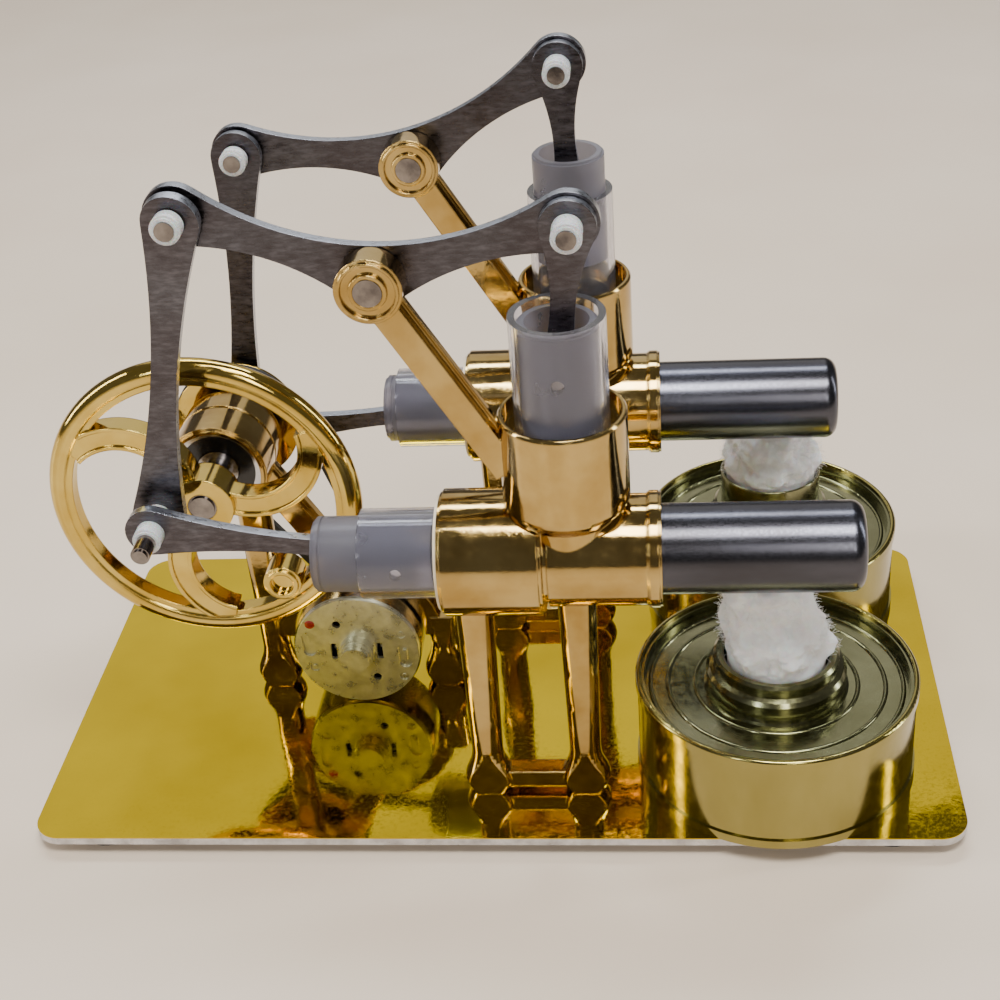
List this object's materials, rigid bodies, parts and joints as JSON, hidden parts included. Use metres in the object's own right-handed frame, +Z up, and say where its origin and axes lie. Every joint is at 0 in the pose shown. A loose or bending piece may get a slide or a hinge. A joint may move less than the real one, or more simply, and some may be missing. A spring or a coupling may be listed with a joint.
{
  "type": "stirling engine model",
  "caption": "Twin horizontal hot-air engines with rocking beams driving a flywheel, with a belt-driven motor and two spirit lamps on a mirror base.",
  "frame": {"origin": "centre of the whole model's footprint on the table, midway between the two spirit lamps in Y and on the board's middle in X", "axes": "+X along the board from the flywheel to the hot ends, +Y to the back, +Z up"},
  "size_m": [0.164, 0.0988, 0.1241],
  "materials": {
    "board_steel": "cut sheet steel edge",
    "gold_mirror": "gold mirror film",
    "rubber": "matt black",
    "dark_steel": "dark polished",
    "gold_casting": "bright pale gold plating",
    "gold_wheel": "bright yellow gold plating",
    "bright_steel": "bright",
    "black_seal": "satin",
    "zinc": "yellow passivated zinc",
    "nylon": "translucent white nylon",
    "gasket": "cream",
    "tinplate": "champagne lacquered tinplate",
    "tinplate_lid": "olive lacquered tinplate",
    "cotton": "fluffy cotton",
    "stainless": "satin stainless",
    "clear_tube": "clear glass",
    "frosted_nylon": "milky translucent",
    "link_steel": "mottled spring steel"
  },
  "bodies": {
    "frame": {"base_board": "board_steel", "mirror_sheet": "gold_mirror", "rubber_feet": "rubber", "leg_screws": "dark_steel", "bearing_stand": "gold_casting", "bearing_rings": "bright_steel", "bearing_seals": "black_seal", "drive_belt": "rubber", "motor_can": "bright_steel", "motor_end_plate": "zinc", "pivot_pins": "dark_steel", "cap_gaskets": "gasket", "front_can": "tinplate", "rear_can": "tinplate", "front_lid": "tinplate_lid", "rear_lid": "tinplate_lid", "wicks": "cotton", "front_body": "gold_casting", "front_hot_cap": "stainless", "front_guide_tube": "clear_tube", "front_power_tube": "clear_tube", "rear_body": "gold_casting", "rear_hot_cap": "stainless", "rear_guide_tube": "clear_tube", "rear_power_tube": "clear_tube"},
    "crankshaft": {"crankshaft": "dark_steel", "flywheel": "gold_wheel", "crank_pins": "dark_steel", "rear_crank_disc": "gold_wheel", "bearing_inner_rings": "bright_steel"},
    "motor_rotor": {"motor_armature": "dark_steel", "motor_pulley": "nylon"},
    "front_beam": {"front_beam": "link_steel", "front_beam_pins": "dark_steel", "front_beam_sleeves": "nylon"},
    "front_long_link": {"front_long_link": "link_steel", "front_crank_bush": "nylon"},
    "front_short_link": {"front_short_link": "link_steel"},
    "front_power_piston": {"front_power_piston": "frosted_nylon", "front_wrist_pin": "dark_steel"},
    "front_displacer": {"front_guide_piston": "frosted_nylon", "front_rod_and_pin": "bright_steel", "front_displacer": "stainless"},
    "front_cross_link": {"front_cross_link": "link_steel", "front_end_sleeve": "nylon", "front_pin_end": "dark_steel"},
    "rear_beam": {"rear_beam": "link_steel", "rear_beam_pins": "dark_steel", "rear_beam_sleeves": "nylon"},
    "rear_long_link": {"rear_long_link": "link_steel", "rear_crank_bush": "nylon"},
    "rear_short_link": {"rear_short_link": "link_steel"},
    "rear_power_piston": {"rear_power_piston": "frosted_nylon", "rear_wrist_pin": "dark_steel"},
    "rear_displacer": {"rear_guide_piston": "frosted_nylon", "rear_rod_and_pin": "bright_steel", "rear_displacer": "stainless"},
    "rear_cross_link": {"rear_cross_link": "link_steel", "rear_end_sleeve": "nylon", "rear_pin_end": "dark_steel"}
  },
  "joints": [
    {"name": "shaft_spin", "type": "hinge", "parent": "frame", "child": "crankshaft", "pos_m": [-0.0478, 0, 0.0562], "axis": [0, -1, 0], "continuous": true},
    {"name": "motor_spin", "type": "hinge", "parent": "frame", "child": "motor_rotor", "pos_m": [-0.0271, 0, 0.01605], "axis": [0, -1, 0], "continuous": true},
    {"name": "front_beam_rock", "type": "hinge", "parent": "frame", "child": "front_beam", "pos_m": [-0.01114, -0.03328, 0.10347], "axis": [0, -1, 0], "range_deg": [-7, 16.4]},
    {"name": "front_long_link_swing", "type": "hinge", "parent": "front_beam", "child": "front_long_link", "pos_m": [-0.03979, -0.03328, 0.11453], "axis": [0, -1, 0], "range_deg": [-16.45, 7.05]},
    {"name": "front_short_link_swing", "type": "hinge", "parent": "front_beam", "child": "front_short_link", "pos_m": [0.01862, -0.03328, 0.1112], "axis": [0, -1, 0], "range_deg": [-9.23, 3.97]},
    {"name": "front_power_stroke", "type": "slide", "parent": "frame", "child": "front_power_piston", "axis": [0, 0, 1], "range_m": [-0.00349, 0.00815]},
    {"name": "front_displacer_stroke", "type": "slide", "parent": "frame", "child": "front_displacer", "axis": [1, 0, 0], "range_m": [-0.0008, 0.0115]},
    {"name": "front_cross_link_swing", "type": "hinge", "parent": "front_displacer", "child": "front_cross_link", "pos_m": [-0.01181, -0.03328, 0.05444], "axis": [0, -1, 0], "range_deg": [-3.6, 13.5]},
    {"name": "rear_beam_rock", "type": "hinge", "parent": "frame", "child": "rear_beam", "pos_m": [-0.01114, 0.01604, 0.10347], "axis": [0, -1, 0], "range_deg": [-23.3, 0.1]},
    {"name": "rear_long_link_swing", "type": "hinge", "parent": "rear_beam", "child": "rear_long_link", "pos_m": [-0.04174, 0.01604, 0.10601], "axis": [0, -1, 0], "range_deg": [-0.15, 23.35]},
    {"name": "rear_short_link_swing", "type": "hinge", "parent": "rear_beam", "child": "rear_short_link", "pos_m": [0.01524, 0.01604, 0.11927], "axis": [0, -1, 0], "range_deg": [-0.1, 12.17]},
    {"name": "rear_power_stroke", "type": "slide", "parent": "frame", "child": "rear_power_piston", "axis": [0, 0, 1], "range_m": [-0.01149, 0.00007]},
    {"name": "rear_displacer_stroke", "type": "slide", "parent": "frame", "child": "rear_displacer", "axis": [1, 0, 0], "range_m": [-0.0062, 0.0061]},
    {"name": "rear_cross_link_swing", "type": "hinge", "parent": "rear_displacer", "child": "rear_cross_link", "pos_m": [-0.00635, 0.01604, 0.05444], "axis": [0, -1, 0], "range_deg": [-17.2, 0]}
  ],
  "couplings": [
    {"joint": "motor_spin", "follows": "shaft_spin", "ratio": 2.7317},
    {"joint": "front_long_link_swing", "follows": "front_beam_rock", "ratio": -1},
    {"joint": "front_short_link_swing", "follows": "front_beam_rock", "ratio": -0.56},
    {"joint": "front_power_stroke", "follows": "front_beam_rock", "m_per_rad": 0.0284},
    {"joint": "rear_long_link_swing", "follows": "rear_beam_rock", "ratio": -1},
    {"joint": "rear_short_link_swing", "follows": "rear_beam_rock", "ratio": -0.52},
    {"joint": "rear_power_stroke", "follows": "rear_beam_rock", "m_per_rad": 0.0282}
  ]
}
